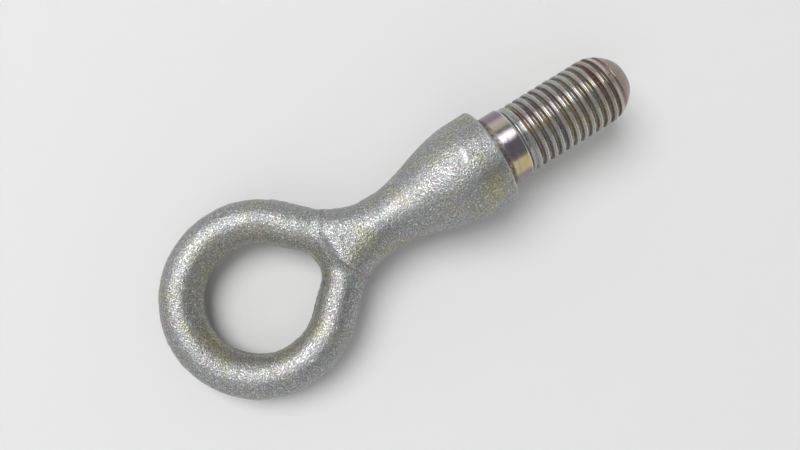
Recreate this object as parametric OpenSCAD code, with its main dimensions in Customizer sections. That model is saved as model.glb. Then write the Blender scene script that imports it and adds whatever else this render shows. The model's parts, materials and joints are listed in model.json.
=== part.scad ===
// Screw-in tow eye, one solid drop forging with a rolled thread, drawn as it lies on a table.
// All sizes are in millimetres. The screw's axis runs along X, with the tip at +X and the eye at -X.
// The eye's far end and the collar touch the table, so the axis rises a little towards the tip.

/* [Eye] */
// Diameter of the round bar that the eye is made of
bar_d = 11.8; // [10:0.2:14]
// Diameter of the round part of the eye's hole
hole_d = 29.9; // [26:0.1:34]
// Angle between each straight side of the eye and the screw's axis
side_angle = 45; // [40:1:52]
// Radius of the bar's middle line where the two sides meet at the shank
crotch_r = 13; // [11:0.5:15]
// Distance from the collar's shoulder back to the middle of the eye
eye_reach = 73.9; // [68:0.1:90]

/* [Shank and collar] */
// Smallest diameter of the shank, at its waist next to the eye
waist_d = 16; // [14:0.2:18]
// Distance from the shoulder back to the waist
waist_reach = 35; // [32:0.5:38]
// How far the shank spreads on each side from its waist to the eye
spread_side = 8; // [6:0.5:9]
// Diameter of the collar
collar_d = 28.1; // [24.6:0.1:34]
// Length of the collar's straight part
collar_land = 5; // [3:0.5:8]
// Bevel on the rim of the shoulder
rim_bevel = 0.4; // [0.2:0.1:0.8]

/* [Neck and thread] */
// Diameter of the turned neck between collar and thread
neck_d = 20.86; // [20.4:0.02:22]
// Length of the neck
neck_len = 7.6; // [6:0.1:10]
// Bevel at the neck's front edge
neck_bevel = 0.3; // [0.1:0.1:0.6]
// Outer diameter of the thread
thread_d = 20; // [18:0.1:20]
// Distance from one thread crest to the next
pitch = 2.5; // [2:0.25:3]
// Distance from the shoulder to the screw's flat tip
screw_len = 42.3; // [38:0.1:60]
// Diameter of the flat at the tip
tip_d = 14; // [12:0.2:15]
// Length over which the tip is rounded off
tip_len = 4; // [3:0.2:5]

/* [Hidden] */
bar_r = bar_d / 2;
eye_r = (hole_d + bar_d) / 2;
collar_r = collar_d / 2;
neck_r = neck_d / 2;
thread_r = thread_d / 2;
tip_r = tip_d / 2;
waist_r = waist_d / 2;
// The depth of a metric thread as a share of its pitch
thread_depth = 0.6134;
root_r = thread_r - thread_depth * pitch;
// Pieces that would end in one face overlap by this much, and skins lie this much lower
overlap = 0.5;
hair = 0.05;
smooth = 96;
bar_smooth = 48;

// Each side of the eye leaves its round part here, seen from the eye's middle
touch = [eye_r * sin(side_angle), eye_r * cos(side_angle)];
// Middle of the small bend at the shank, and where each side runs into that bend
crotch_x = (eye_r - crotch_r) / sin(side_angle);
crotch_touch = [crotch_x + crotch_r * sin(side_angle), crotch_r * cos(side_angle)];
side_len = norm(crotch_touch - touch);
// Where the bar's middle line crosses the screw's axis next to the shank
crotch_mid = crotch_x + crotch_r - eye_reach;

// Outline of collar and shank from the land back to the waist, as places and radii
body_steps = 14;
body_full = 1.08;
body_shape = [for (i = [0:body_steps])
    let (t = i / body_steps)
    [-collar_land - (waist_reach - collar_land) * t,
     waist_r + (collar_r - waist_r) * (1 + cos(180 * pow(t, body_full))) / 2]];

// Sections where the shank spreads onto the eye, each with its place, half width, half height and
// the power of its roundness: 2 is an ellipse, and more is flatter on top and underneath.
// The height falls a little and then rounds down onto the bar, just past the bar's middle line.
saddle_steps = 14;
saddle_sides = 40;
saddle_from = 2 * overlap - waist_reach;
saddle_to = crotch_mid - 0.44 * bar_r;
spread_curve = 2.3;
saddle_fall = 0.06;
saddle_drop = 0.36;
drop_curve = 9;
spread_flat = 1.2;
saddle = [for (i = [saddle_steps:-1:0])
    let (t = i / saddle_steps)
    [saddle_from + (saddle_to - saddle_from) * t,
     waist_r - hair + spread_side * pow(t, spread_curve),
     (waist_r - hair) * (1 - saddle_fall * t - saddle_drop * pow(t, drop_curve)),
     2 + spread_flat * pow(t, 2)]];
function flatten(v, power) = sign(v) * pow(abs(v), 2 / power);

// One turn of thread from root to root, as shares of the pitch and radii
crest_round = 0.3;
tooth = [[0, root_r], [0.2, root_r], [0.5, thread_r - crest_round],
         [0.58, thread_r], [0.67, thread_r], [0.75, thread_r - crest_round]];
crest_share = 0.625;
steps = 24;
// The last crest on top comes just before the tip's rounding, and the spiral is set by it
last_crest = screw_len - tip_len - pitch / 2;
crests = ceil((last_crest - neck_len + 2 * overlap + pitch / 8) / pitch);
thread_start = last_crest - pitch * (crests + crest_share + 0.25);
turns = ceil((screw_len - thread_start) / pitch) + 2;
// The rolled thread starts shallow at the neck and reaches full depth over this length
run_out = 1.7 * pitch;

// Outline of the rounded tip from its flat end back to the full thread, as shares of its
// length and of its narrowing
tip_shape = [[0, 1], [0.1, 0.85], [0.33, 0.58], [0.7, 0.27], [1, 0.08]];

// How far the part tips up when it rests on this point of its outline and on the eye's far end
function lean(point) =
    let (lever = eye_reach + eye_r + point[0])
    atan(point[1] / lever) - asin(bar_r / norm([lever, point[1]]));
tilt = max([for (point = body_shape) lean(point)]);
lift = max([for (point = body_shape) point[1] * cos(tilt) - point[0] * sin(tilt)]);
back_x = -(eye_reach + eye_r) * cos(tilt) - bar_r;
front_x = screw_len * cos(tilt) + tip_r * sin(tilt);
shift = -(back_x + front_x) / 2;

// Closes a list of equal rings of points into a solid
module skin(rings) {
    n = len(rings[0]);
    last = len(rings) - 1;
    polyhedron(
        points = [for (ring = rings) each ring],
        faces = concat(
            [[for (j = [0:n - 1]) j]],
            [for (i = [0:last - 1]) for (j = [0:n - 1])
                [i * n + j, (i + 1) * n + j, (i + 1) * n + (j + 1) % n]],
            [for (i = [0:last - 1]) for (j = [0:n - 1])
                [i * n + j, (i + 1) * n + (j + 1) % n, i * n + (j + 1) % n]],
            [[for (j = [n - 1:-1:0]) last * n + j]]
        )
    );
}

// A bend of round bar, with the given radius to the bar's middle, between two angles
module bend(radius, from, to) {
    rotate([0, 0, from])
    rotate_extrude(angle = to - from, $fn = smooth)
    translate([radius, 0])
    circle(d = bar_d, $fn = bar_smooth);
}

// The drop-shaped loop of round bar. Its straight sides are a hair slimmer than the bends
// and run a little way into them, so that no two faces lie exactly on each other.
module loop() {
    bend(eye_r, 90 - side_angle, 270 + side_angle);
    translate([crotch_x, 0, 0])
    bend(crotch_r, side_angle - 90, 90 - side_angle);
    for (side = [-1, 1])
    translate([touch[0], side * touch[1], 0])
    rotate([0, 90, -side * side_angle])
    translate([0, 0, -overlap])
    cylinder(d = bar_d - hair, h = side_len + 2 * overlap, $fn = bar_smooth);
}

// The end of the shank that spreads sideways and rounds down onto the loop
module spread_end() {
    skin([for (s = saddle)
        [for (j = [0:saddle_sides - 1])
            let (a = 360 * j / saddle_sides)
            [s[0], s[1] * flatten(cos(a), s[3]), s[2] * flatten(sin(a), s[3])]]]);
}

// Shank, collar and neck, all round the screw's axis
module round_body() {
    rotate([0, 90, 0])
    rotate_extrude($fn = smooth)
    polygon(concat(
        [[0, neck_len], [neck_r - neck_bevel, neck_len], [neck_r, neck_len - neck_bevel],
         [neck_r, 0], [collar_r - rim_bevel, 0], [collar_r, -rim_bevel]],
        [for (point = body_shape) [point[1], point[0]]],
        [[0, -waist_reach]]
    ));
}

// The thread, cut to the rounded tip, with the metal left in its first turns
module screw() {
    clear_r = thread_r + overlap / 2;
    intersection() {
        thread_rod();
        rotate([0, 90, 0])
        rotate_extrude($fn = smooth)
        polygon(concat(
            [[0, neck_len - 2 * overlap], [clear_r, neck_len - 2 * overlap],
             [clear_r, screw_len - tip_len - overlap]],
            [for (k = [len(tip_shape) - 1:-1:0])
                [thread_r - (thread_r - tip_r) * tip_shape[k][1], screw_len - tip_len * tip_shape[k][0]]],
            [[0, screw_len]]
        ));
    }
    translate([neck_len - overlap, 0, 0])
    rotate([0, 90, 0])
    cylinder(r1 = thread_r - crest_round, r2 = root_r - 2 * hair, h = run_out, $fn = smooth);
}

// A long right-handed thread, one point of the tooth after the other all along the spiral
module thread_rod() {
    m = len(tooth);
    rows = turns * m;
    ends = (rows + 1) * steps;
    function at(i, j) = j < steps ? i * steps + j : (i + m) * steps;
    spiral = [for (i = [0:rows]) for (j = [0:steps - 1])
        let (point = tooth[i % m], a = 360 * j / steps)
        [thread_start + pitch * (floor(i / m) + point[0] + j / steps),
         point[1] * cos(a), point[1] * sin(a)]];
    start_rim = concat([for (j = [0:steps - 1]) at(0, j)], [for (i = [m:-1:0]) at(i, 0)]);
    end_rim = concat([at(rows, 0)], [for (i = [rows - m:rows - 1]) at(i, steps - 1)],
                     [for (j = [steps - 1:-1:0]) at(rows, j)]);
    polyhedron(
        points = concat(spiral, [[thread_start, 0, 0], [thread_start + pitch * (turns + 0.5), 0, 0]]),
        faces = concat(
            [for (i = [0:rows - 1]) for (j = [0:steps - 1])
                if (j < steps - 1 || i + 1 + m <= rows) [at(i, j), at(i + 1, j), at(i + 1, j + 1)]],
            [for (i = [0:rows - 1]) for (j = [0:steps - 1])
                if (j < steps - 1 || i + 1 + m <= rows) [at(i, j), at(i + 1, j + 1), at(i, j + 1)]],
            [for (k = [0:len(start_rim) - 2]) [ends, start_rim[k], start_rim[k + 1]]],
            [for (k = [0:len(end_rim) - 2]) [ends + 1, end_rim[k], end_rim[k + 1]]]
        )
    );
}

// The whole forging round the screw's axis, before it is laid down
module forging() {
    translate([-eye_reach, 0, 0])
    loop();
    spread_end();
    round_body();
    screw();
}

module tow_eye() {
    color([0.64, 0.64, 0.63])
    translate([shift, 0, lift])
    rotate([0, -tilt, 0])
    forging();
}

tow_eye();
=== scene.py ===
"""Looks of the screw-in tow eye: blasted forging, turned neck and rolled thread.

The shape is worked out in millimetres in the screw's own frame: x along the screw's axis from
the collar's shoulder towards the tip, z up from the plane of the eye. The pieces are then laid
down into the row frame, in metres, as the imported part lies.
"""

import json
import math

import bmesh
import bpy
import numpy as np
from mathutils import Color, Euler, Matrix, Vector


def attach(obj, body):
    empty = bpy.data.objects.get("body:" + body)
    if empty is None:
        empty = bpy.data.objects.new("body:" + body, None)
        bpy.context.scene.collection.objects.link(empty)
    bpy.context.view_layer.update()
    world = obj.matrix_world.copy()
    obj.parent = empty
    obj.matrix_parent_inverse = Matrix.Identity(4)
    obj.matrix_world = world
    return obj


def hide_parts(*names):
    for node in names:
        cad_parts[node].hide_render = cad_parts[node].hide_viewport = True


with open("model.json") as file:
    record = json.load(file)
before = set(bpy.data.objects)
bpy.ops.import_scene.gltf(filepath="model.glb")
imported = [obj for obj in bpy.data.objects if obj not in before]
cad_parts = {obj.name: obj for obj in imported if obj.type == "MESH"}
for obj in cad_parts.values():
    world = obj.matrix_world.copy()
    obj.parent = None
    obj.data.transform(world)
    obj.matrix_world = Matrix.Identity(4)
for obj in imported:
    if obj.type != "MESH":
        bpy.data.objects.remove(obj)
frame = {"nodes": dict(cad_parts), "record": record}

bl_info = {
    "name": "Tow Eye",
    "version": (1, 0, 0),
    "blender": (4, 5, 0),
    "location": "View3D > Sidebar > Tow Eye",
    "description": "Builds a screw-in tow eye with its finish, a floor, lights and a camera",
    "category": "Object",
}

NODE = "tow_eye"
BODY = "root"
MM = 0.001


# Settings


def length(name, text, default):
    """A size in metres with a name and a tooltip."""
    return bpy.props.FloatProperty(
        name=name, description=text, default=default, min=0.0, unit="LENGTH", precision=5
    )


def share(name, text, default, high=1.0):
    """A plain number from nought up."""
    return bpy.props.FloatProperty(name=name, description=text, default=default, min=0.0, max=high)


def tint(name, text, default):
    """A colour."""
    return bpy.props.FloatVectorProperty(
        name=name, description=text, default=default, min=0.0, max=1.0, size=3, subtype="COLOR"
    )


class TowEyeSizes(bpy.types.PropertyGroup):
    """Sizes of the forging, the neck and the thread."""

    bar: length("Bar", "Diameter of the bar that the eye is made of", 0.0118)
    hole: length("Hole", "Diameter of the round part of the eye's hole", 0.0299)
    crotch: length("Crotch", "Radius of the bar's middle line where it meets the shank", 0.013)
    reach: length("Reach", "Distance from the shoulder to the middle of the eye", 0.0739)
    waist: length("Waist", "Diameter of the shank at its waist", 0.016)
    waist_reach: length("Waist reach", "Distance from the shoulder to the waist", 0.035)
    spread: length("Spread", "How far the shank spreads on each side where it meets the eye", 0.008)
    collar: length("Collar", "Diameter of the collar", 0.0281)
    land: length("Land", "Length of the collar's straight part", 0.005)
    bevel: length("Rim bevel", "Bevel on the rim of the shoulder", 0.0004)
    neck: length("Neck", "Diameter of the turned neck", 0.02086)
    neck_long: length("Neck length", "Length of the turned neck", 0.0076)
    thread: length("Thread", "Outer diameter of the thread", 0.02)
    pitch: length("Pitch", "Distance from one crest to the next", 0.0025)
    screw_long: length("Screw length", "Distance from the shoulder to the tip", 0.043)
    tip: length("Tip", "Diameter of the flat at the tip", 0.0107)
    tip_long: length("Tip length", "Length over which the tip narrows", 0.009)
    last_crest: length("Last crest", "Distance from the shoulder to the last crest, on top", 0.03755)
    voxel: length("Mesh step", "Edge length of the forging's mesh", 0.00038)
    flash_high: length("Flash height", "Height of the line that the dies leave", 0.00024)
    flash_wide: length("Flash width", "Width of the line that the dies leave", 0.0003)


class TowEyeLooks(bpy.types.PropertyGroup):
    """Colours and finish of the steel."""

    steel: tint("Steel", "Colour of the plated forged skin", (0.305, 0.318, 0.324))
    olive: tint("Olive", "Yellow-green tint in the plating", (0.33, 0.33, 0.22))
    rose: tint("Rose", "Pink-violet tint in the plating", (0.34, 0.285, 0.33))
    turned: tint("Turned steel", "Colour of the turned neck", (0.58, 0.55, 0.57))
    rolled: tint("Rolled steel", "Colour of the thread's crests", (0.4, 0.43, 0.435))
    # Gold of the neck's painted reflection bands
    gold: tint("Gold", "Gold tint on the neck", (0.62, 0.5, 0.22))
    amber: tint("Amber", "Olive gold tint on the collar and inside the eye", (0.38, 0.34, 0.15))
    straw: tint("Straw", "Gold in the thread's roots", (0.44, 0.335, 0.15))
    # Violet of the neck's painted dark reflections; on the thread, a tint
    violet: tint("Violet", "Dark violet tint on the neck and the thread", (0.21, 0.165, 0.22))
    # This near-black is also the painted shade on the thread's flanks
    stain_and_shade: tint("Stain", "Dark stain on the thread's flanks", (0.065, 0.04, 0.056))
    # This brown also paints the shade in the forging's folds, dents and corner by the neck, and the
    # collar's shadow on the neck
    brown: tint("Brown", "Dirt and staining in creases and roots", (0.1, 0.08, 0.06))
    rust: tint("Rust", "Rust spots", (0.17, 0.052, 0.035))
    bright: tint("Bright", "Bare metal on worn edges", (0.78, 0.77, 0.74))
    grain: share("Grain", "Depth of the blasted grain", 1.45, 4.0)
    forged_rough: share("Forged roughness", "Roughness of the forged skin", 0.43)
    turned_rough: share("Turned roughness", "Roughness of the turned neck", 0.13)
    rolled_rough: share("Rolled roughness", "Roughness of the rolled thread", 0.22)


class TowEyeStage(bpy.types.PropertyGroup):
    """Floor, lights and camera."""

    floor: tint("Floor", "Colour of the floor", (0.74, 0.74, 0.74))
    key: share("Key light", "Power of the large soft light", 41.0, 500.0)
    fill: share("Fill light", "Power of the fill light", 8.0, 500.0)
    sky: share("Sky", "Strength of the even light from all round", 0.22, 5.0)
    field_of_view: bpy.props.FloatProperty(
        name="Field of view",
        description="Angle that the lens sees across the picture",
        default=math.radians(56.0),
        min=0.1,
        max=2.5,
        subtype="ANGLE",
    )


# Curves and noise


def smooth_min(a, b, k):
    """The lower of two fields, with a fillet about k wide."""
    h = np.clip(0.5 + 0.5 * (b - a) / k, 0, 1)
    return b + (a - b) * h - k * h * (1 - h)


def smooth_max(a, b, k):
    """The higher of two fields, with a rounded edge about k wide."""
    return -smooth_min(-a, -b, k)


def smooth_step(v, start, end):
    """Nought at start and one at end, with soft ends."""
    t = np.clip((v - start) / (end - start), 0, 1)
    return t * t * (3 - 2 * t)


def bell(v, middle, wide):
    """One at the middle, falling softly to nought at about twice the width."""
    return np.exp(-(((v - middle) / wide) ** 2))


def arc(radius, start, end, step):
    """Points on an arc about the origin, from one angle to another in degrees."""
    turn = np.radians(np.arange(start, end + step / 10, step))
    return radius * np.stack([np.cos(turn), np.sin(turn)], axis=1)


# Points along each side of the noise's lattices, which are kept by their seeds
LATTICE = 32
_lattices = {}


def noise(p, size, seed):
    """Soft noise from -1 to 1 with lumps about size wide, the same at each run."""
    if seed not in _lattices:
        _lattices[seed] = np.random.default_rng(seed).uniform(-1, 1, (LATTICE,) * 3)
    q = p / size + 100
    cell = np.floor(q).astype(int)
    f = q - cell
    f = f * f * f * (f * (f * 6 - 15) + 10)
    total = np.zeros(len(p))
    for corner in np.ndindex(2, 2, 2):
        weight = np.prod(np.where(corner, f, 1 - f), axis=1)
        at = (cell + corner) % LATTICE
        total += weight * _lattices[seed][tuple(at.T)]
    return total * 1.3


# Shape of the forging

# Power of the shank's swell, where more keeps the collar wide for longer
SWELL_CURVE = 1.08
# Power of the tip's rounding, where 2 is an ellipse
TIP_CURVE = 1.6
# Depth of the rolled thread as a share of its pitch
THREAD_DEPTH = 0.48
# The shank spreads from just before its waist, and stops short of the bar's middle line
SPREAD_EARLY = 1.0
SPREAD_SHORT = 2.6
SPREAD_CURVE = 2.3
# It spreads less on the side of -y, and more on the side of +y
SPREAD_LESS = 1.1
SPREAD_MORE = 0.3
# It also gets a little lower, and flatter than an ellipse
SPREAD_FALL = 0.06
SPREAD_FLAT = 1.2
# The sloping shoulder where it breaks off on the eye: which way it faces, and its rounding
SHOULDER_BACK = 0.62
SHOULDER_UP = 0.785
SHOULDER_ROUND = 0.8
# Fillet between shank and bar on the side of -y, and how much wider it is on the other
FILLET = 0.55
FILLET_MORE = 0.85
# Waves of the forged skin: how wide they are, their seed and their height
SKIN_WAVES = ((7.0, 11, 0.05), (2.6, 12, 0.012), (1.1, 13, 0.008))
# Shallow dents in it: how wide they are, their seed, their depth and how rare they are
SKIN_DENTS = (1.5, 14, 0.05, 0.7)
# The skin gets smooth between these places, towards the turned rim
SKIN_SMOOTH = (-0.6, -3.0)

# The shoulder's edge: places across the shank, and along it from the eye's middle
SHOULDER = np.array(
    [
        (-14, 28.9), (-11, 27.9), (-8.2, 26.3), (-5.2, 24.7), (-2.5, 24.2),
        (5, 24.2), (7.7, 24.6), (10.3, 26.0), (14, 28.1),
    ]
)

# The folds where the shank's spread end lies on the eye: places along and across, from the eye's
# middle, then half widths and depths, and the place along that none of them passes
LOWER_CREASE = np.array([(23.7, -3.4), (24.7, -5.6), (26.2, -8.2), (27.3, -10.4), (27.9, -12.0)])
UPPER_CREASE = np.array([(24.3, 7.6), (25.1, 9.1), (26.0, 10.5), (26.9, 12.0)])
FOLDS = ((LOWER_CREASE, 0.32, 0.16), (UPPER_CREASE, 0.55, 0.13))
FOLDS_END = 31.9


class Shape:
    """All sizes in millimetres, with the lines and the curves that follow from them."""

    def __init__(self, sizes):
        """Takes the sizes in metres from the scene's settings."""
        for key in ("bar", "waist", "collar", "neck", "thread", "tip"):
            setattr(self, key + "_r", getattr(sizes, key) / MM / 2)
        for key in (
            "crotch", "reach", "waist_reach", "spread", "land", "bevel", "neck_long", "pitch",
            "screw_long", "tip_long", "last_crest", "voxel", "flash_high", "flash_wide",
        ):
            setattr(self, key, getattr(sizes, key) / MM)
        self.eye_r = sizes.hole / MM / 2 + self.bar_r
        self.root_r = self.thread_r - THREAD_DEPTH * self.pitch
        # The eye's straight sides run at 45 degrees from its round part to the bend at the shank
        self.half = math.sqrt(0.5)
        self.side_len = self.eye_r - self.crotch
        self.crotch_x = self.side_len / self.half
        self.spread_start = SPREAD_EARLY - self.waist_reach
        self.spread_end = self.crotch_x + self.crotch - self.reach - SPREAD_SHORT

    def body_radius(self, x):
        """Radius of the round shank and collar at x."""
        t = np.clip((-self.land - x) / (self.waist_reach - self.land), 0, 1)
        swell = (1 + np.cos(np.pi * t**SWELL_CURVE)) / 2
        return self.waist_r + (self.collar_r - self.waist_r) * swell

    def tip_radius(self, x):
        """Radius of the rounded tip, which narrows to a small flat."""
        narrowing = 1 - (self.tip_r / self.thread_r) ** TIP_CURVE
        t = np.clip((x - self.screw_long + self.tip_long) / self.tip_long, 0, 1)
        return self.thread_r * (1 - narrowing * t**2) ** (1 / TIP_CURVE)

    def off_line(self, x, y):
        """Distance in the plane from the drop-shaped middle line of the bar."""
        px = x + self.reach
        py = np.abs(y)
        along = (px - py) * self.half
        across = (px + py) * self.half - self.eye_r
        eye = np.hypot(px, py) - self.eye_r
        bend = np.hypot(px - self.crotch_x, py) - self.crotch
        return np.where(along < 0, eye, np.where(along > self.side_len, bend, across))

    def ring(self, p):
        """Signed distance to the bar of the eye."""
        return np.hypot(self.off_line(p[:, 0], p[:, 1]), p[:, 2]) - self.bar_r

    def shank(self, p):
        """Signed distance to the shank, which ends in a sloping shoulder on the eye."""
        x, y, z = p.T
        t = np.clip((x - self.spread_start) / (self.spread_end - self.spread_start), 0, 1.3)
        spread = self.spread - SPREAD_LESS + (SPREAD_LESS + SPREAD_MORE) * smooth_step(y, -2.0, 2.0)
        wide = np.where(t > 0, self.waist_r + spread * t**SPREAD_CURVE, self.body_radius(x))
        high = np.where(t > 0, self.waist_r * (1 - SPREAD_FALL * t), self.body_radius(x))
        n = 2 + SPREAD_FLAT * t**2
        across = np.abs(y) / wide + 1e-9
        level = np.abs(z) / high + 1e-9
        k = (across**n + level**n) ** (1 / n)
        rise = k ** (1 - n) * np.hypot(across ** (n - 1) / wide, level ** (n - 1) / high)
        skin = (k - 1) / (rise + 1e-9)
        edge = np.interp(y, SHOULDER[:, 0], SHOULDER[:, 1]) - self.reach
        above = np.abs(z) - high * np.clip(1 - across**n, 0, 1) ** (1 / n)
        slope = -SHOULDER_BACK * (x - edge) + SHOULDER_UP * above
        return np.maximum(smooth_max(skin, slope, SHOULDER_ROUND), self.spread_end - x)

    def crease(self, p, line, wide):
        """One on a fold's line, falling to nought a little beside it, on top and underneath."""
        flat = p[:, :2] + (self.reach, 0)
        near = flat[:, 0] < FOLDS_END
        q = flat[near]
        found = np.full(len(q), np.inf)
        for a, b in zip(line[:-1], line[1:]):
            along = np.clip(((q - a) @ (b - a)) / ((b - a) @ (b - a)), 0, 1)
            found = np.minimum(found, np.linalg.norm(q - a - along[:, None] * (b - a), axis=1))
        crease = np.zeros(len(p))
        crease[near] = bell(found, 0, wide)
        return crease

    def skin_height(self, p):
        """How much the forged skin swells and dips."""
        skin = sum(noise(p, wide, seed) * high for wide, seed, high in SKIN_WAVES)
        wide, seed, deep, rare = SKIN_DENTS
        skin -= deep * np.clip(noise(p, wide, seed) - rare, 0, 1) / (1 - rare)
        folds = sum(deep * self.crease(p, line, wide) for line, wide, deep in FOLDS)
        return skin * smooth_step(p[:, 0], *SKIN_SMOOTH) - folds

    def field(self, p):
        """Signed distance to the whole forging back of the shoulder."""
        fillet = FILLET + FILLET_MORE / (1 + np.exp(-p[:, 1] * 1.2))
        return smooth_min(self.ring(p), self.shank(p), fillet) - self.skin_height(p)

    def normal(self, p, step=0.02):
        """Outward direction of the field at each point."""
        g = np.zeros_like(p)
        for axis, d in enumerate(step * np.eye(3)):
            g[:, axis] = self.field(p + d) - self.field(p - d)
        return g / (np.linalg.norm(g, axis=1)[:, None] + 1e-12)

    def settle(self, p, rounds):
        """Moves points onto the forging's surface and gives its normals."""
        for _ in range(rounds):
            p = p - self.normal(p) * self.field(p)[:, None]
        return p, self.normal(p)


# From the screw's frame to the row frame


def lay():
    """The matrix from the screw's frame in millimetres to the row frame in metres.

    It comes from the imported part's own mounts: the neck's middle and axis, and the eye's axis.
    """
    mounts = {m["name"]: m for m in frame["record"]["mounts"]}
    along = Vector(mounts["neck"]["axis"]).normalized()
    up = Vector(mounts["eye"]["axis"]).normalized()
    side = up.cross(along)
    origin = Vector(mounts["neck"]["pos_m"]) - along * mounts["neck"]["dims"]["length_mm"] / 2 * MM
    turn = Matrix((along, side, up)).transposed().to_4x4()
    return Matrix.Translation(origin) @ turn @ Matrix.Scale(MM, 4)


def add_object(name, data):
    """Adds an object to the scene."""
    thing = bpy.data.objects.new(name, data)
    bpy.context.collection.objects.link(thing)
    return thing


def add_mesh(name, points, faces, material):
    """Adds a smooth mesh of one material to the scene."""
    mesh = bpy.data.meshes.new(name)
    mesh.from_pydata(points.tolist(), [], faces)
    mesh.polygons.foreach_set("use_smooth", [True] * len(mesh.polygons))
    mesh.materials.append(material)
    return add_object(name, mesh)


def put(name, points, faces, marks, material):
    """Makes a piece from points in the screw's frame and lays it down.

    Each mark is a named list of one number a point, for the materials.
    """
    matrix = np.array(lay())
    piece = add_mesh(name, points @ matrix[:3, :3].T + matrix[:3, 3], faces, material)
    place = piece.data.attributes.new("place", "FLOAT_VECTOR", "POINT")
    place.data.foreach_set("vector", points.astype(np.float32).ravel())
    for mark, values in marks.items():
        layer = piece.data.attributes.new(mark, "FLOAT", "POINT")
        layer.data.foreach_set("value", np.asarray(values, dtype=np.float32))
    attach(piece, BODY)
    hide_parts(NODE)


# Meshes


def grid_faces(rows, columns, first=0, closed=True):
    """Faces of a grid of points, row after row."""
    faces = []
    last = columns if closed else columns - 1
    for i in range(rows - 1):
        for j in range(last):
            a = first + i * columns + j
            b = first + i * columns + (j + 1) % columns
            faces.append((a, b, b + columns, a + columns))
    return faces


def revolve(profile, columns, first=0):
    """Points and faces of a profile of (x, radius) turned round the screw's axis."""
    angle = np.linspace(0, 2 * np.pi, columns, endpoint=False)
    points = []
    for x, r in profile:
        points.append(np.stack([np.full(columns, x), r * np.cos(angle), r * np.sin(angle)], axis=1))
    return np.concatenate(points), grid_faces(len(profile), columns, first)


def cut_off(bm, x, side):
    """Cuts a mesh across the screw's axis, drops one side, and gives the cut edges."""
    geometry = bm.verts[:] + bm.edges[:] + bm.faces[:]
    cut = bmesh.ops.bisect_plane(
        bm, geom=geometry, plane_co=(x, 0, 0), plane_no=(side, 0, 0), clear_outer=True
    )
    return [e for e in cut["geom_cut"] if isinstance(e, bmesh.types.BMEdge)]


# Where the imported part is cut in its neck, and where the skin ends at the turned rim
NECK_CUT = 4
SKIN_END = -1.2


def even_mesh(shape):
    """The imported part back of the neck, in the screw's frame, as a mesh of even faces."""
    node = frame["nodes"][NODE]
    mesh = node.data.copy()
    mesh.transform(lay().inverted() @ node.matrix_world)
    bm = bmesh.new()
    bm.from_mesh(mesh)
    bmesh.ops.remove_doubles(bm, verts=bm.verts, dist=1e-4)
    bmesh.ops.contextual_create(bm, geom=cut_off(bm, NECK_CUT, 1))
    bm.to_mesh(mesh)
    bm.free()
    solid = add_object("rough", mesh)
    remesh = solid.modifiers.new("even", "REMESH")
    remesh.mode = "VOXEL"
    remesh.voxel_size = shape.voxel
    bpy.context.view_layer.update()
    graph = bpy.context.evaluated_depsgraph_get()
    even = bpy.data.meshes.new_from_object(solid.evaluated_get(graph))
    bpy.data.objects.remove(solid)
    return even


def forged_skin(shape):
    """Points and faces of the forging back of the rim, on the worked-out surface."""
    bm = bmesh.new()
    bm.from_mesh(even_mesh(shape))
    points = np.array([v.co for v in bm.verts])
    points, _ = shape.settle(points, 6)
    for v, p in zip(bm.verts, points):
        v.co = p
    cut_off(bm, SKIN_END, 1)
    bm.verts.index_update()
    points = np.array([v.co for v in bm.verts])
    faces = [tuple(v.index for v in f.verts) for f in bm.faces]
    bm.free()
    if len(faces) < 1000:
        raise RuntimeError("the forging's even mesh came out empty")
    return points, faces


def rim_profile(shape):
    """The collar's front: a short land, a rounded rim, and the flat shoulder down to the neck."""
    r, b = shape.collar_r, shape.bevel
    profile = [(SKIN_END - 0.1, r), (-1.0, r), (-0.8, r), (-b - 0.12, r)]
    for step in range(7):
        a = math.radians(90 - 15 * step)
        profile.append((-b + b * math.cos(a), r - b + b * math.sin(a)))
    profile += [(0.0, r - b - 0.1), (0.0, r - 1.0), (0.0, shape.neck_r + 0.6)]
    profile += [(-0.03, shape.neck_r + 0.25), (-0.03, shape.neck_r - 0.4)]
    return profile


# The die line: its places beside the spread end, from the eye's middle, its end on the collar,
# and the rows of points across it as shares of its half width
FLASH_SIDE = np.array([(26.9, 11.7), (30.9, 9.5), (34.9, 8.2)])
FLASH_END = -6.0
FLASH_ROWS = np.array([0.25, 0.6, 1.0, 1.5, 2.2, 3.2])


def outer_flash(shape):
    """Where the dies met on the outside: along the shank, round the eye and back again."""
    eye = arc(shape.eye_r + shape.bar_r, 45, 315, 0.9) - (shape.reach, 0)
    side = np.concatenate([eye[:1], FLASH_SIDE - (shape.reach, 0)])
    xs = np.arange(eye[0, 0] + 0.3, FLASH_END, 0.35)
    ys = np.interp(xs, side[:, 0], side[:, 1])
    ys = np.where(xs > side[-1, 0], shape.body_radius(xs), ys)
    up = np.stack([xs, ys], axis=1)
    return np.concatenate([up[::-1], eye, up * (1, -1)])


def inner_flash(shape):
    """Where the dies met inside the eye's hole, as a closed line."""
    eye = arc(shape.eye_r - shape.bar_r, 45, 315, 1.2) - (shape.reach, 0)
    bend = arc(shape.crotch - shape.bar_r, -45, 45, 2.5) + (shape.crotch_x - shape.reach, 0)
    along = np.arange(1, 24)[:, None] / 24
    low = eye[-1] + (bend[0] - eye[-1]) * along
    up = bend[-1] + (eye[0] - bend[-1]) * along
    return np.concatenate([eye, low, bend, up])


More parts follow.
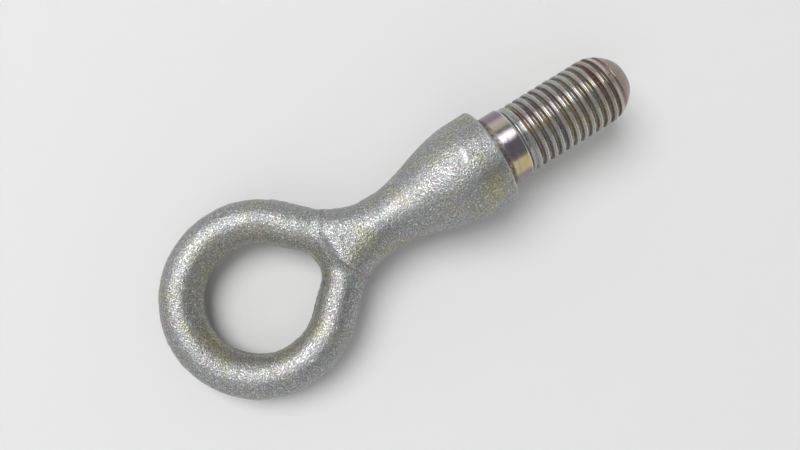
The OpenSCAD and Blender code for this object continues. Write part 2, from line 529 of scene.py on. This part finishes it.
def flash_ridge(shape, path, closed):
    """Points, faces and wear of the low ridge along a path on the forging."""
    half = shape.flash_wide / 2
    across = np.concatenate([-FLASH_ROWS[::-1], FLASH_ROWS]) * half
    columns = len(across)
    base = np.repeat(path, columns, axis=0)
    z = np.tile(across, len(path))
    points, out = shape.settle(np.column_stack([base, z]), 5)
    spot = np.column_stack([base, np.zeros(len(base))])
    strong = np.clip(0.75 + 0.6 * noise(spot, 5.0, 21) + 0.35 * noise(spot, 1.3, 22), 0.12, 1.5)
    strong = strong * smooth_step(base[:, 0], -8.0, -38.0)
    wander = 0.12 * noise(spot, 6.0, 23)
    ridge = bell(z, wander, half) * strong
    ends = np.tile(np.abs(across) == across[-1], len(path))
    points = points + out * (ridge * shape.flash_high - 0.02 - 0.03 * ends)[:, None]
    faces = grid_faces(len(path), columns, closed=False)
    if closed:
        last = (len(path) - 1) * columns
        faces += [(last + j, last + j + 1, j + 1, j) for j in range(columns - 1)]
    return points, faces, np.clip(ridge, 0, 1)


# Materials


def new_group(name, inputs, outputs):
    """An empty shader node group with named sockets, each with its kind."""
    group = bpy.data.node_groups.new(name, "ShaderNodeTree")
    for way, sockets in (("INPUT", inputs), ("OUTPUT", outputs)):
        for label, kind in sockets.items():
            group.interface.new_socket(name=label, in_out=way, socket_type="NodeSocket" + kind)
    n = Nodes(group)
    return group, n, n.add("NodeGroupInput").outputs, n.add("NodeGroupOutput")


class Nodes:
    """Short ways to add nodes to a tree and link them."""

    def __init__(self, tree):
        """Works on one node tree."""
        self.tree = tree

    def add(self, kind, **values):
        """Adds a node and sets its plain properties."""
        node = self.tree.nodes.new(kind)
        for key, value in values.items():
            setattr(node, key, value)
        return node

    def feed(self, node, inputs):
        """Links or sets the inputs of a node by name or number."""
        for key, value in inputs.items():
            socket = node.inputs[key]
            if isinstance(value, bpy.types.NodeSocket):
                self.tree.links.new(value, socket)
            else:
                socket.default_value = (*value, 1.0) if isinstance(value, Color) else value
        return node

    def attribute(self, name, output="Fac"):
        """A value stored on the mesh."""
        return self.add("ShaderNodeAttribute", attribute_name=name).outputs[output]

    def place(self):
        """The place in the screw's frame, in millimetres."""
        return self.attribute("place", "Vector")

    def split(self, vector):
        """The three parts of a vector."""
        return self.feed(self.add("ShaderNodeSeparateXYZ"), {0: vector}).outputs

    def noise(self, vector, scale, detail=2.0, rough=0.5, output="Fac"):
        """Soft noise at a scale."""
        node = self.add("ShaderNodeTexNoise")
        self.feed(node, {"Vector": vector, "Scale": scale, "Detail": detail, "Roughness": rough})
        return node.outputs[output]

    def cells(self, vector, scale, feature="F1"):
        """Distance from the middles of scattered cells."""
        node = self.add("ShaderNodeTexVoronoi", feature=feature)
        self.feed(node, {"Vector": vector, "Scale": scale})
        return node.outputs["Distance"]

    def math(self, operation, a, b, clamp=False):
        """A number worked out from two others."""
        node = self.add("ShaderNodeMath", operation=operation, use_clamp=clamp)
        return self.feed(node, {0: a, 1: b}).outputs[0]

    def times(self, a, b, clamp=False):
        """The product of two numbers."""
        return self.math("MULTIPLY", a, b, clamp)

    def plus(self, a, b):
        """The sum of two numbers."""
        return self.math("ADD", a, b)

    def minus(self, a, b, clamp=False):
        """The difference of two numbers."""
        return self.math("SUBTRACT", a, b, clamp)

    def most(self, a, b):
        """The higher of two numbers."""
        return self.math("MAXIMUM", a, b)

    def span(self, value, from_low, from_high, to_low=0.0, to_high=1.0):
        """Maps a range of values onto another with soft ends, and clamps it."""
        node = self.add("ShaderNodeMapRange", interpolation_type="SMOOTHSTEP")
        return self.feed(node, {0: value, 1: from_low, 2: from_high, 3: to_low, 4: to_high}).outputs[0]

    def band(self, value, start, full, full_end, end):
        """One between two values, falling softly to nought on both sides."""
        return self.times(self.span(value, start, full), self.span(value, end, full_end))

    def mix(self, factor, a, b, blend="MIX"):
        """A mix of two colours."""
        node = self.add("ShaderNodeMix", data_type="RGBA", blend_type=blend)
        return self.feed(node, {0: factor, 6: a, 7: b}).outputs[2]

    def vector(self, operation, a, b):
        """A node that works on two vectors."""
        return self.feed(self.add("ShaderNodeVectorMath", operation=operation), {0: a, 1: b})

    def stretch(self, vector, scale):
        """The vector with each axis scaled."""
        return self.vector("MULTIPLY", vector, scale).outputs[0]

    def bend(self, vector, scale, by):
        """The vector, pushed about by soft noise."""
        push = self.stretch(self.noise(vector, scale, output="Color"), (by, by, by))
        return self.vector("ADD", vector, push).outputs[0]

    def far(self, vector, point, scale):
        """Distance from a point, with each axis scaled."""
        target = [p * s for p, s in zip(point, scale)]
        return self.vector("DISTANCE", self.stretch(vector, scale), target).outputs["Value"]

    def bump(self, height, distance):
        """The normal of a relief, with its depth in metres."""
        node = self.add("ShaderNodeBump")
        return self.feed(node, {"Height": height, "Distance": distance}).outputs[0]


def grain_group():
    """Small dents of a blasted forged skin, as a height, and masks of its high and low spots."""
    group, n, source, out = new_group(
        "Blasted Grain",
        {"Place": "Vector", "Depth": "Float"},
        {"Height": "Float", "High Spots": "Float", "Low Spots": "Float"},
    )
    place = source["Place"]
    dents = n.cells(n.bend(place, 1.1, 0.5), 2.7, "SMOOTH_F1")
    small = n.noise(place, 5.0, 3.0, 0.6)
    lumps = n.noise(place, 1.3)
    height = n.plus(n.times(dents, 0.75), n.times(small, 0.55))
    height = n.plus(height, n.times(lumps, 0.16))
    high = n.span(height, 0.62, 0.95)
    low = n.span(height, 0.6, 0.4)
    n.feed(out, {"Height": n.times(height, source["Depth"]), "High Spots": high, "Low Spots": low})
    return group


def plating_group():
    """Zinc plating with cloudy olive and rose tints."""
    group, n, source, out = new_group(
        "Plating Tint",
        {"Place": "Vector", "Steel": "Color", "Olive": "Color", "Rose": "Color"},
        {"Color": "Color"},
    )
    place = source["Place"]
    olive = n.span(n.noise(place, 0.13, 3.0, 0.6), 0.45, 0.7)
    rose = n.span(n.noise(n.stretch(place, (1.3, 1.1, 0.9)), 0.22, 3.0, 0.6), 0.5, 0.72)
    colour = n.mix(n.times(olive, 0.8), source["Steel"], source["Olive"])
    colour = n.mix(n.times(rose, 0.65), colour, source["Rose"])
    fine = n.noise(place, 1.5, 3.0, 0.6, output="Color")
    colour = n.mix(0.16, colour, fine, "OVERLAY")
    speck = n.span(n.noise(place, 2.6, 3.0, 0.65), 0.3, 0.7, 0.76, 1.12)
    grey = n.feed(n.add("ShaderNodeCombineColor"), {0: speck, 1: speck, 2: speck})
    n.feed(out, {"Color": n.mix(1.0, colour, grey.outputs[0], "MULTIPLY")})
    return group


def wear_group():
    """Brown grime and painted shade, and bright bare metal and painted highlights, each where its own
    mark is high.
    """
    group, n, source, out = new_group(
        "Dirt And Wear",
        {
            "Place": "Vector", "Color": "Color", "Roughness": "Float", "Dirt": "Float",
            "Wear": "Float", "Brown": "Color", "Bright": "Color",
        },
        {"Color": "Color", "Roughness": "Float", "Metallic": "Float"},
    )
    broken = n.span(n.noise(source["Place"], 1.6, 4.0, 0.65), 0.3, 0.62, 0.35, 1.0)
    dirt = n.times(source["Dirt"], broken, clamp=True)
    wear = n.times(source["Wear"], broken, clamp=True)
    colour = n.mix(wear, source["Color"], source["Bright"])
    colour = n.mix(dirt, colour, source["Brown"])
    rough = n.plus(source["Roughness"], n.times(dirt, 0.35))
    rough = n.minus(rough, n.times(wear, 0.14), clamp=True)
    metal = n.minus(1.0, n.times(dirt, 0.6), clamp=True)
    n.feed(out, {"Color": colour, "Roughness": rough, "Metallic": metal})
    return group


EFFECTS = {"Blasted Grain": grain_group, "Plating Tint": plating_group, "Dirt And Wear": wear_group}


def use(n, kind, **inputs):
    """Puts a shared node group into a material, and builds the group the first time."""
    node = n.add("ShaderNodeGroup", node_tree=bpy.data.node_groups.get(kind) or EFFECTS[kind]())
    return n.feed(node, inputs).outputs


def start_material(name):
    """A new material, the short ways to its nodes, and its surface."""
    material = bpy.data.materials.new(name)
    material.use_nodes = True
    return material, Nodes(material.node_tree), material.node_tree.nodes["Principled BSDF"]


def finish(n, surface, relief, depth, bright, brown, **look):
    """Puts grime and painted shade, bare worn metal and painted highlights over a look and links it to
    the surface, with a relief in metres.
    """
    worn = use(n, "Dirt And Wear", Place=n.place(), Bright=bright, Brown=brown, **look)
    n.feed(surface, {"Base Color": worn["Color"], "Normal": n.bump(relief, depth)})
    n.feed(surface, {"Roughness": worn["Roughness"], "Metallic": worn["Metallic"]})


# Depth of each finish's fine relief in metres
BLASTED_DEEP = 0.0001
TOOLED_DEEP = 0.00003


def forged_material(looks):
    """The blasted and plated forged skin, with pits by the rim and golden patches."""
    material, n, surface = start_material("Forged skin")
    place = n.place()
    depth = n.span(n.attribute("wear"), 0.1, 0.8, looks.grain, 0.25 * looks.grain)
    grain = use(n, "Blasted Grain", Place=place, Depth=depth)
    tints = {"Steel": looks.steel, "Olive": looks.olive, "Rose": looks.rose}
    plating = use(n, "Plating Tint", Place=place, **tints)
    patchy = n.span(n.noise(place, 0.3), 0.25, 0.6, 0.1, 0.7)
    colour = n.mix(n.times(n.attribute("gilt"), patchy), plating["Color"], looks.amber)
    # Painted shade: the grain's low spots are darkened with the brown
    colour = n.mix(n.times(grain["Low Spots"], 0.52), colour, looks.brown)
    pits = n.span(n.cells(n.bend(place, 1.4, 0.7), 1.45), 0.36, 0.18)
    pits = n.times(pits, n.attribute("pitted"))
    cloud = n.span(n.noise(place, 0.35, 3.0, 0.6), 0.3, 0.7, -0.07, 0.09)
    rough = n.minus(n.plus(cloud, looks.forged_rough), n.times(grain["High Spots"], 0.1))
    height = n.minus(grain["Height"], n.times(pits, 0.8))
    dirt = n.most(n.attribute("dirt"), n.times(pits, 0.75))
    # The grain's high spots are worn bright, which also paints their glints
    wear = n.most(n.attribute("wear"), n.times(grain["High Spots"], 0.7))
    look = {"Color": colour, "Roughness": rough, "Dirt": dirt, "Wear": wear}
    finish(n, surface, height, BLASTED_DEEP, looks.bright, looks.brown, **look)
    return material


# Places of the neck's painted reflections across the screw's axis, in millimetres, with their soft edges:
# a gold band low down and a lighter gold one above, a dark band, and violet towards both edges
GOLD_REFLECTION = (-9.0, -7.4, -5.0, -3.6)
PALE_GOLD_REFLECTION = (3.2, 5.0)
DARK_REFLECTION = (-4.8, -3.4, -0.5, 1.5)
VIOLET_REFLECTION_LOW = (-7.6, -9.2)
VIOLET_REFLECTION_UP = (6.0, 8.0)


def turned_material(looks):
    """The turned neck: smooth, with fine turning lines and painted reflections as bands of gold, dark and
    violet along it.
    """
    material, n, surface = start_material("Turned neck")
    place = n.place()
    across = n.split(place)[1]
    lines = n.noise(n.stretch(place, (1.0, 0.02, 0.02)), 9.0, 3.0, 0.7)
    sheen = n.span(n.noise(n.stretch(place, (0.3, 0.16, 0.16)), 1.0, 3.0, 0.6), 0.3, 0.6, 0.5, 1.0)
    # Painted reflections: a gold band on the side of -y and a fainter one on the side of +y, a dark band
    # between them, and violet towards both edges, all by the place across the axis
    pale_reflection = n.times(n.span(across, *PALE_GOLD_REFLECTION), 0.45)
    gold = n.times(n.most(pale_reflection, n.band(across, *GOLD_REFLECTION)), sheen)
    colour = n.mix(gold, looks.turned, looks.gold)
    violet = n.most(n.span(across, *VIOLET_REFLECTION_LOW), n.span(across, *VIOLET_REFLECTION_UP))
    violet = n.most(violet, n.times(n.band(across, *DARK_REFLECTION), 0.6))
    colour = n.mix(n.times(violet, 0.88), colour, looks.violet)
    cloud = n.noise(n.stretch(place, (0.5, 0.2, 0.2)), 1.0)
    colour = n.mix(n.span(cloud, 0.5, 0.7, 0.0, 0.3), colour, looks.violet)
    rough = n.span(lines, 0.3, 0.7, looks.turned_rough - 0.04, looks.turned_rough + 0.1)
    look = {"Color": colour, "Roughness": rough, "Dirt": n.attribute("dirt"), "Wear": n.attribute("wear")}
    finish(n, surface, lines, TOOLED_DEEP, looks.bright, looks.brown, **look)
    return material


# Where the thread turns to straw and violet, and the nick in its last crest with how much each
# axis counts in its shape
TIP_TINT = (29.0, 37.0)
NICK = (37.2, 1.5, 9.3)
NICK_SHAPE = (2.0, 6.0, 0.3)


def rolled_material(looks):
    """The rolled thread: bright crests, painted shade on the flanks, stained roots, a little rust."""
    material, n, surface = start_material("Rolled thread")
    place = n.place()
    along = n.split(place)[0]
    root = n.attribute("gilt")
    tip = n.span(along, *TIP_TINT)
    sheen = n.span(n.noise(n.stretch(place, (0.3, 0.12, 0.12)), 1.0), 0.32, 0.6, 0.45, 1.0)
    gilt = n.times(sheen, n.plus(n.times(root, 0.85), 0.12))
    colour = n.mix(gilt, looks.rolled, looks.straw)
    crest = n.times(tip, n.minus(0.6, n.times(root, 0.6)))
    colour = n.mix(crest, colour, looks.straw)
    cloud = n.noise(n.stretch(place, (0.16, 0.1, 0.1)), 1.0)
    violet = n.most(n.span(cloud, 0.45, 0.7, 0.0, 0.65), n.times(tip, 0.75))
    violet = n.times(violet, n.plus(n.times(root, 0.8), 0.2))
    colour = n.mix(violet, colour, looks.violet)
    rust = n.times(n.attribute("rust"), n.span(n.noise(place, 1.1, 4.0, 0.65), 0.34, 0.54))
    colour = n.mix(rust, colour, looks.rust)
    rough = n.plus(looks.rolled_rough, n.times(rust, 0.4))
    rough = n.plus(rough, n.span(n.noise(place, 0.7, 3.0), 0.35, 0.7, -0.05, 0.12))
    nick = n.span(n.far(place, NICK, NICK_SHAPE), 1.1, 0.5, 0.0, 2.5)
    flank = n.add("ShaderNodeCombineXYZ")
    n.feed(flank, {0: n.times(n.attribute("turn"), 14.0), 1: along})
    drawn = n.noise(n.stretch(flank.outputs[0], (1.0, 0.3, 1.0)), 1.0, 3.0, 0.6)
    scratches = n.noise(n.stretch(place, (1.2, 0.5, 0.5)), 1.5, 3.0, 0.55)
    height = n.plus(n.times(drawn, 0.8), n.times(scratches, 0.5))
    dirt = n.most(n.attribute("dirt"), nick)
    look = {"Color": colour, "Roughness": rough, "Dirt": dirt, "Wear": n.attribute("wear")}
    finish(n, surface, height, TOOLED_DEEP, looks.bright, looks.stain_and_shade, **look)
    return material


# Pieces

# Marks on the forging: middles and half widths along and across the screw, or a patch's middle
SMEAR_ALONG = (-8.8, 0.8)
SMEAR_ACROSS = (3.0, 1.8)
PITTED_AT = (-4.8, 3.6, 13.4)
PITTED_SHAPE = (1.1, 1.3, 1.0)
GOLDEN_AT = (-5.2, -8.4, 11.2)
# The golden tint inside the eye ends here, measured from the eye's middle
GOLDEN_END = 21.9


class TOWEYE_OT_forged_body(bpy.types.Operator):
    """Builds the eye, the shank and the collar as one forging"""

    bl_idname = "toweye.forged_body"
    bl_label = "Forged Body"

    def execute(self, context):
        """Settles an even mesh on the worked-out surface and adds the rim and the die line."""
        shape = Shape(context.scene.tow_eye_sizes)
        points, faces = forged_skin(shape)
        ridge = np.zeros(len(points))
        for path, closed in ((outer_flash(shape), False), (inner_flash(shape), True)):
            more, more_faces, high = flash_ridge(shape, path, closed)
            faces += [tuple(i + len(points) for i in f) for f in more_faces]
            points = np.concatenate([points, more])
            ridge = np.concatenate([ridge, high])
        rim, rim_faces = revolve(rim_profile(shape), 288, len(points))
        faces += rim_faces
        points = np.concatenate([points, rim])
        ridge = np.pad(ridge, (0, len(rim)))
        marks = self.marks(shape, points, ridge)
        put("forged_body", points, faces, marks, forged_material(context.scene.tow_eye_looks))
        return {"FINISHED"}

    def marks(self, shape, points, ridge):
        """Where the skin is dirty, darkened as painted shade in the folds and the corner by the neck,
        worn bright, pitted or golden.
        """
        x, y, z = points.T
        radius = np.hypot(y, z)
        # Painted shade in the folds where the shank's spread end lies on the eye, the lower fold fading
        # out towards -y
        fade = smooth_step(y, -11.5, -8.0) * (0.75 + 0.4 * noise(points, 1.6, 41))
        dirt = 0.95 * fade * shape.crease(points, LOWER_CREASE, 0.3)
        dirt = np.clip(dirt + 0.55 * shape.crease(points, UPPER_CREASE, 0.5), 0, 1)
        # Painted shade in the corner of the shoulder by the neck
        shoulder = (x > -0.05) * (radius < shape.neck_r + 0.5)
        rim = bell(x, -0.25, 0.35) * (radius > shape.collar_r - 0.6)
        smear = bell(x, *SMEAR_ALONG) * bell(y, *SMEAR_ACROSS) * (z > 0)
        smear = smear * (0.6 + 0.4 * noise(points, 1.2, 42))
        pitted = np.linalg.norm((points - PITTED_AT) / PITTED_SHAPE, axis=1)
        patch = np.linalg.norm(points - GOLDEN_AT, axis=1)
        inner = smooth_step(shape.off_line(x, y), 1.0, -5.5) * (x < GOLDEN_END - shape.reach)
        return {
            "dirt": np.clip(dirt + 0.7 * shoulder, 0, 1),
            "wear": np.clip(0.45 * rim + 0.45 * ridge + smear, 0, 1),
            "pitted": smooth_step(pitted, 4.6, 0.8),
            "gilt": np.clip(smooth_step(patch, 6.5, 1.0) + 0.3 * inner, 0, 1),
        }


class TOWEYE_OT_neck(bpy.types.Operator):
    """Builds the turned neck in front of the collar"""

    bl_idname = "toweye.neck"
    bl_label = "Neck"

    def execute(self, context):
        """Turns the neck's outline round the screw's axis."""
        shape = Shape(context.scene.tow_eye_sizes)
        r, end = shape.neck_r, shape.neck_long
        profile = [(-0.05, r), (0.12, r - 0.06), (0.3, r - 0.08), (0.45, r - 0.03), (0.55, r)]
        profile += [(x, r) for x in np.linspace(0.8, end - 0.75, 22)]
        profile += [(end - 0.35, r), (end - 0.3, r - 0.02), (end - 0.02, r - 0.3), (end, r - 0.34)]
        profile += [(end, r - 0.8), (end, shape.root_r - 0.3)]
        points, faces = revolve(profile, 256)
        x, y, z = points.T
        radius = np.hypot(y, z)
        wear = bell(x, end - 0.2, 0.25) * (radius > r - 0.4)
        # Painted shadow: the collar's shadow on the neck, darkest by the shoulder; the neck's end face is
        # darkened too
        dirt = smooth_step(x, 2.45, 1.9) + (radius < r - 0.5)
        marks = {"wear": wear, "dirt": np.clip(dirt, 0, 1)}
        put("neck", points, faces, marks, turned_material(context.scene.tow_eye_looks))
        return {"FINISHED"}


# One turn of the tooth: shares of the pitch and heights from root (0) to crest (1). Rolling
# leaves a seam between two lips.
TOOTH = np.array(
    [
        (0.0, 0.3), (0.03, 0.19), (0.06, 0.1), (0.1, 0.03), (0.14, 0.0), (0.18, 0.02), (0.22, 0.11),
        (0.255, 0.25), (0.29, 0.43), (0.325, 0.62), (0.36, 0.79), (0.39, 0.9), (0.42, 0.955),
        (0.45, 0.965), (0.475, 0.93), (0.495, 0.86), (0.52, 0.81), (0.545, 0.86), (0.565, 0.935),
        (0.59, 0.975), (0.63, 0.995), (0.67, 1.0), (0.71, 0.985), (0.75, 0.955), (0.79, 0.905),
        (0.83, 0.83), (0.87, 0.73), (0.91, 0.6), (0.95, 0.46), (0.98, 0.36),
    ]
)
# Parts of the tooth for the marks, as middles and half widths in shares of the pitch, among them the
# flank's painted shade and the last crest's painted highlight
LIP = (0.435, 0.025)
SEAM = (0.52, 0.032)
FLANK_SHADE = (0.3, 0.075)
ROOT = (0.14, 0.06)
LAST_CREST_HIGHLIGHT = (0.5, 0.08)
LAST_LINE = (0.26, 0.035)
# Turns from the start of the winding to the last crest, with the crest's share of the tooth and
# the quarter turn up to the top
TURNS = 14
CREST_SHARE = 0.68
TO_TOP = 0.25
# The roots at the tip are this much deeper
LAST_ROOT = 0.4
# The first turns are shallow, from here beyond the neck and over this length
RUN_OUT_FROM = 0.3
RUN_OUT = 4.1
# Width of the soft edges, and how far the crests stand out of the tip's rounding
EDGE = 0.25
PROUD = 0.06
# The groove between neck and thread: its middle beyond the neck, half width and depth
GROOVE_AT = 0.15
GROOVE_WIDE = 0.32
GROOVE_DEEP = 0.75
# Knocks on the crests: places along and across the screw, half widths and depths
KNOCKS = ((22.4, 4.5, 0.3, 0.14), (29.4, -3.5, 0.35, 0.16), (17.0, -5.0, 0.25, 0.12))
# The rusty patch on top: middles and half widths along and across the screw
RUST_ALONG = (33.4, 0.85)
RUST_ACROSS = (2.4, 4.2)
# Points round the thread
AROUND = 144


class TOWEYE_OT_thread(bpy.types.Operator):
    """Builds the rolled right-hand thread and the rounded tip"""

    bl_idname = "toweye.thread"
    bl_label = "Thread"

    def execute(self, context):
        """Winds the tooth's outline round the axis, then cuts it at the neck and at the tip."""
        shape = Shape(context.scene.tow_eye_sizes)
        rows = len(TOOTH)
        start = shape.last_crest - shape.pitch * (TURNS + CREST_SHARE + TO_TOP)
        total = (math.ceil((shape.screw_long - start) / shape.pitch) + 1) * rows + 1
        i = np.arange(total)
        along, high = TOOTH[i % rows].T
        turn = np.arange(AROUND) / AROUND
        x = start + shape.pitch * ((along + i // rows)[:, None] + turn)
        angle = np.broadcast_to(2 * np.pi * turn, x.shape)
        radius = self.radius(shape, x, high[:, None])
        points = np.stack([x, radius * np.cos(angle), radius * np.sin(angle)], axis=2).reshape(-1, 3)
        points[:, 1:] *= self.knocks(shape, points)[:, None]
        place = np.repeat(along, AROUND)
        points, faces, place = self.trim(shape, points, self.wound_faces(total, rows), place)
        marks = self.marks(shape, points, place)
        put("thread", points, faces, marks, rolled_material(context.scene.tow_eye_looks))
        return {"FINISHED"}

    def radius(self, shape, x, tooth):
        """Radius of the thread with its run-out at the neck and the tip's rounding."""
        crest = shape.last_crest
        full = shape.root_r + (shape.thread_r - shape.root_r) * tooth
        full = full - LAST_ROOT * (1 - tooth) * smooth_step(x, crest - 1.0, crest + 0.6)
        top = shape.thread_r - 0.3
        low = shape.root_r - 0.2
        t = np.clip((x - shape.neck_long - RUN_OUT_FROM) / RUN_OUT, 0, 1)
        full = smooth_max(full, top - (top - low) * t**1.4, EDGE)
        groove = GROOVE_DEEP * bell(x, shape.neck_long + GROOVE_AT, GROOVE_WIDE)
        return smooth_min(full, shape.tip_radius(x) + PROUD, EDGE) - groove

    def knocks(self, shape, points):
        """Small dents and waves in the thread, as a factor on each point's radius."""
        x, y, z = points.T
        factor = 1 + 0.0035 * noise(points, 3.0, 31) + 0.0015 * noise(points, 0.9, 32)
        for along, across, wide, deep in KNOCKS:
            dent = bell(x, along, wide) * bell(y, across, wide) * (z > 0)
            factor -= deep / shape.thread_r * dent
        return factor

    def wound_faces(self, total, rows):
        """Faces of the wound grid: the last column joins the first one a turn further on."""
        faces = grid_faces(total, AROUND, closed=False)
        for i in range(1, total - rows):
            near = i * AROUND - 1
            far = (i + rows) * AROUND
            faces.append((near, far - AROUND, far, near + AROUND))
        return faces

    def trim(self, shape, points, faces, place):
        """Cuts both ends square and closes the tip with a small flat that has a rounded edge."""
        mesh = bpy.data.meshes.new("wound")
        mesh.from_pydata(points.tolist(), [], faces)
        layer = mesh.attributes.new("turn", "FLOAT", "POINT")
        layer.data.foreach_set("value", place.astype(np.float32))
        bm = bmesh.new()
        bm.from_mesh(mesh)
        cut_off(bm, shape.neck_long - 0.15, -1)
        cut_off(bm, shape.screw_long - 0.05, 1)
        bm.to_mesh(mesh)
        bm.free()
        kept = np.array([v.co for v in mesh.vertices])
        level = np.zeros(len(kept), dtype=np.float32)
        mesh.attributes["turn"].data.foreach_get("value", level)
        cut = [tuple(f.vertices) for f in mesh.polygons]
        bpy.data.meshes.remove(mesh)
        edge = shape.screw_long
        r = shape.tip_r
        disc = [(edge - 0.1, r + 0.16), (edge - 0.05, r + 0.1), (edge, r - 0.05), (edge + 0.03, r - 0.3)]
        disc += [(edge + 0.04, r * k) for k in (0.84, 0.7, 0.5, 0.3, 0.12, 0.001)]
        more, more_faces = revolve(disc, AROUND, len(kept))
        level = np.concatenate([level, np.full(len(more), 0.1)])
        return np.concatenate([kept, more]), cut + more_faces, level

    def marks(self, shape, points, place):
        """Worn crests with a painted highlight on the last one, gilded roots, painted shade on the flank
        on the neck's side, and rust near the tip.
        """
        x, y, z = points.T
        neck, crest = shape.neck_long, shape.last_crest
        last = smooth_step(x, crest - 1.6, crest - 1.0)
        tip = smooth_step(x, crest + 0.9, crest + 2.2)
        lips_and_highlight = bell(place, *LIP) + 0.6 * smooth_step(place, 0.58, 0.64) * (place < 0.77)
        # Painted highlight on the last crest, where the tip's rounding turns it away from the light
        last_crest_highlight = 1.6 * last * (1 - tip) * bell(place, *LAST_CREST_HIGHLIGHT)
        lips_and_highlight = np.maximum(lips_and_highlight * (x < crest + 1.0), last_crest_highlight)
        # Painted shade on the flank that faces the neck, a little grime in the roots, a dark seam, and
        # darker in the groove by the neck
        dirt = 0.95 * bell(place, *FLANK_SHADE) + 0.15 * bell(place, *ROOT)
        dirt = np.maximum(dirt, 0.75 * (1 - last) * bell(place, *SEAM))
        groove = bell(x, neck + GROOVE_AT, 0.4)
        dirt = np.maximum(dirt * smooth_step(x, neck + 0.9, neck + 4.9), groove)
        line = 0.5 * bell(place, *LAST_LINE) * (x < crest + 2.5)
        dirt = dirt * (1 - tip) + tip * (0.2 + line)
        gilt = np.maximum(smooth_step(place, 0.72, 0.9), smooth_step(place, 0.3, 0.2))
        gilt = gilt * smooth_step(x, neck + 0.6, neck + 2.9) * (1 - tip) + 0.3 * tip
        spot = bell(x, *RUST_ALONG) * bell(y, *RUST_ACROSS) * (z > 0)
        return {
            "wear": 0.35 * lips_and_highlight,
            "dirt": np.clip(dirt, 0, 1),
            "gilt": gilt,
            "rust": np.clip(1.2 * spot + 0.06 * tip, 0, 1),
            "turn": place,
        }


# Stage

# The camera's place in the screw's frame, and its turn in degrees from looking straight down
CAMERA_AT = (-48.04, -9.49, 205.3)
CAMERA_TURN = (3.993, -3.0074, -31.8941)
# The lamps' places in the screw's frame, their widths in metres, and the point that they face
LAMPS = (("key", (-440, 920, 2000), 1.6), ("fill", (-1200, -900, 1500), 2.0))
FACED = (-30, 0, 0)
# The floor in metres: the radius of its flat part, of the bend round it, and the wall's height
FLOOR_FLAT = 0.6
FLOOR_BEND = 0.5
FLOOR_WALL = 0.75


class TOWEYE_OT_stage(bpy.types.Operator):
    """Adds the floor, the lights and the camera"""

    bl_idname = "toweye.stage"
    bl_label = "Stage"

    def execute(self, context):
        """Sets the scene up for one picture."""
        stage = context.scene.tow_eye_stage
        matrix = lay()
        self.floor(stage)
        self.sky(context.scene, stage)
        for name, where, width in LAMPS:
            self.lamp(name, getattr(stage, name), width, matrix @ Vector(where), matrix @ Vector(FACED))
        self.camera(context.scene, stage, matrix)
        return {"FINISHED"}

    def floor(self, stage):
        """A wide plain floor that curves up into a low wall all round."""
        profile = [(FLOOR_WALL, FLOOR_FLAT + FLOOR_BEND)]
        for a in np.radians(np.arange(90, -1, -7.5)):
            profile.append((FLOOR_BEND * (1 - np.cos(a)), FLOOR_FLAT + FLOOR_BEND * np.sin(a)))
        profile.append((0.0, FLOOR_FLAT / 2))
        around = 96
        points, faces = revolve(profile, around)
        middle = tuple(range(len(points) - around, len(points)))
        material, n, surface = start_material("Floor")
        n.feed(surface, {"Base Color": stage.floor, "Roughness": 0.9})
        add_mesh("floor", points[:, [1, 2, 0]], faces + [middle], material)

    def sky(self, scene, stage):
        """An even light from all round."""
        world = bpy.data.worlds.new("Sky")
        world.use_nodes = True
        back = world.node_tree.nodes["Background"]
        back.inputs["Color"].default_value = (1.0, 1.0, 1.0, 1.0)
        back.inputs["Strength"].default_value = stage.sky
        scene.world = world

    def lamp(self, name, power, width, where, towards):
        """A large round light that looks at a point."""
        light = bpy.data.lights.new(name, "AREA")
        light.energy = power
        light.size = width
        light.shape = "DISK"
        lamp = add_object(name, light)
        lamp.location = where
        lamp.rotation_mode = "QUATERNION"
        lamp.rotation_quaternion = (towards - where).to_track_quat("-Z", "Y")

    def camera(self, scene, stage, matrix):
        """The camera that looks down on the part, placed in the screw's frame."""
        lens = bpy.data.cameras.new("camera")
        lens.sensor_fit = "HORIZONTAL"
        lens.angle = stage.field_of_view
        lens.clip_start = 0.01
        lens.clip_end = 20.0
        turn = matrix.to_3x3().normalized() @ Euler(np.radians(CAMERA_TURN)).to_matrix()
        camera = add_object("camera", lens)
        camera.matrix_world = Matrix.Translation(matrix @ Vector(CAMERA_AT)) @ turn.to_4x4()
        scene.camera = camera
        scene.view_settings.view_transform = "Standard"


class TOWEYE_PT_panel(bpy.types.Panel):
    """Sizes, colours and buttons of the tow eye"""

    bl_idname = "TOWEYE_PT_panel"
    bl_label = "Tow Eye"
    bl_space_type = "VIEW_3D"
    bl_region_type = "UI"
    bl_category = "Tow Eye"

    def draw(self, context):
        """Lists the settings and a button for each step."""
        layout = self.layout
        layout.use_property_split = True
        for name, kind in SETTINGS.items():
            column = layout.box().column()
            for key in kind.__annotations__:
                column.prop(getattr(context.scene, name), key)
        for step in STEPS:
            layout.operator(step.bl_idname)


STEPS = (TOWEYE_OT_forged_body, TOWEYE_OT_neck, TOWEYE_OT_thread, TOWEYE_OT_stage)
SETTINGS = {"tow_eye_sizes": TowEyeSizes, "tow_eye_looks": TowEyeLooks, "tow_eye_stage": TowEyeStage}
CLASSES = (*SETTINGS.values(), *STEPS, TOWEYE_PT_panel)


def register():
    """Makes the settings, the operators and the panel known to Blender."""
    for kind in CLASSES:
        bpy.utils.register_class(kind)
    for name, group in SETTINGS.items():
        setattr(bpy.types.Scene, name, bpy.props.PointerProperty(type=group))


def unregister():
    """Takes them away again."""
    for name in SETTINGS:
        delattr(bpy.types.Scene, name)
    for kind in reversed(CLASSES):
        bpy.utils.unregister_class(kind)


def main():
    """Builds the pieces and the stage."""
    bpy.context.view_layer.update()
    register()
    bpy.ops.toweye.forged_body()
    bpy.ops.toweye.neck()
    bpy.ops.toweye.thread()
    bpy.ops.toweye.stage()


if __name__ == "__main__":
    main()
